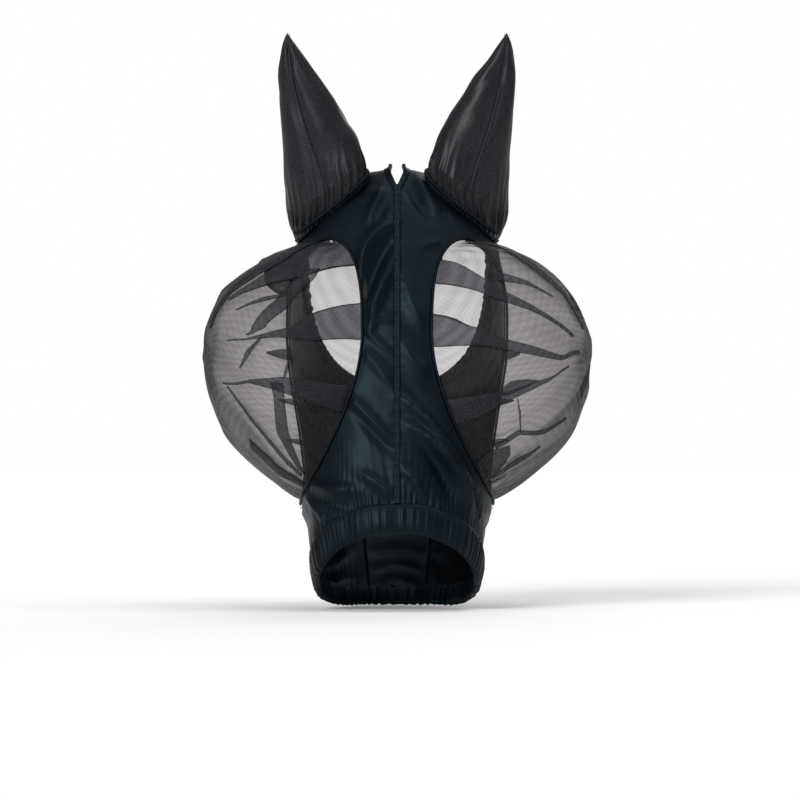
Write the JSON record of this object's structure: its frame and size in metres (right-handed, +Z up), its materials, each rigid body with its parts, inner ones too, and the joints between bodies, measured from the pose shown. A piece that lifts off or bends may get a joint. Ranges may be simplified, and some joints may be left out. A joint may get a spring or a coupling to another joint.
{
  "type": "horse fly mask",
  "caption": "Pull-on stretch horse fly mask with gathered mesh eye domes, mesh ear covers, a forelock slit and elastic nose and neck hems.",
  "frame": {"origin": "middle of the nose opening, level with the chin end of its hem", "axes": "+Z up towards the poll and ears, -Y the way the horse faces, +X to the viewer's right when facing the mask"},
  "size_m": [0.3884, 0.3286, 0.5722],
  "materials": {
    "stretch_cloth": "satin",
    "binding_cloth": "satin",
    "seam_thread": "satin",
    "eye_net": "matte",
    "ear_net": "satin",
    "elastic": "matte"
  },
  "bodies": {
    "mask": {"face_panel_left": "stretch_cloth", "face_panel_right": "stretch_cloth", "cheek_panel_left": "stretch_cloth", "cheek_panel_right": "stretch_cloth", "jaw_panel": "stretch_cloth", "poll_panel": "stretch_cloth", "centre_seam": "seam_thread", "jaw_seam_left": "seam_thread", "jaw_seam_right": "seam_thread", "nose_casing": "binding_cloth", "nose_elastic": "elastic", "neck_casing": "binding_cloth", "neck_elastic": "elastic", "eye_mesh_left": "eye_net", "eye_mesh_right": "eye_net", "eye_binding_left": "binding_cloth", "eye_binding_right": "binding_cloth", "ear_binding_left": "binding_cloth", "ear_binding_right": "binding_cloth", "forelock_binding_left": "binding_cloth", "forelock_binding_right": "binding_cloth"},
    "ear_band_left": {"ear_band_left": "binding_cloth"},
    "ear_left": {"ear_front_left": "ear_net", "ear_back_left": "ear_net", "ear_seam_left": "seam_thread"},
    "ear_band_right": {"ear_band_right": "binding_cloth"},
    "ear_right": {"ear_front_right": "ear_net", "ear_back_right": "ear_net", "ear_seam_right": "seam_thread"}
  },
  "joints": [
    {"name": "ear_left_tilt", "type": "hinge", "parent": "mask", "child": "ear_band_left", "pos_m": [-0.07773, 0.06813, 0.40426], "axis": [-0.7064, 0.4191, -0.5703], "range_deg": [-20, 20]},
    {"name": "ear_left_swivel", "type": "hinge", "parent": "ear_band_left", "child": "ear_left", "pos_m": [-0.0705, 0.06157, 0.41893], "axis": [0.627, 0.2687, -0.7312], "range_deg": [-20, 35]},
    {"name": "ear_right_tilt", "type": "hinge", "parent": "mask", "child": "ear_band_right", "pos_m": [0.07773, 0.06813, 0.40426], "axis": [-0.7064, -0.4191, 0.5703], "range_deg": [-20, 20]},
    {"name": "ear_right_swivel", "type": "hinge", "parent": "ear_band_right", "child": "ear_right", "pos_m": [0.0705, 0.06157, 0.41893], "axis": [0.627, -0.2687, 0.7312], "range_deg": [-20, 35]}
  ]
}
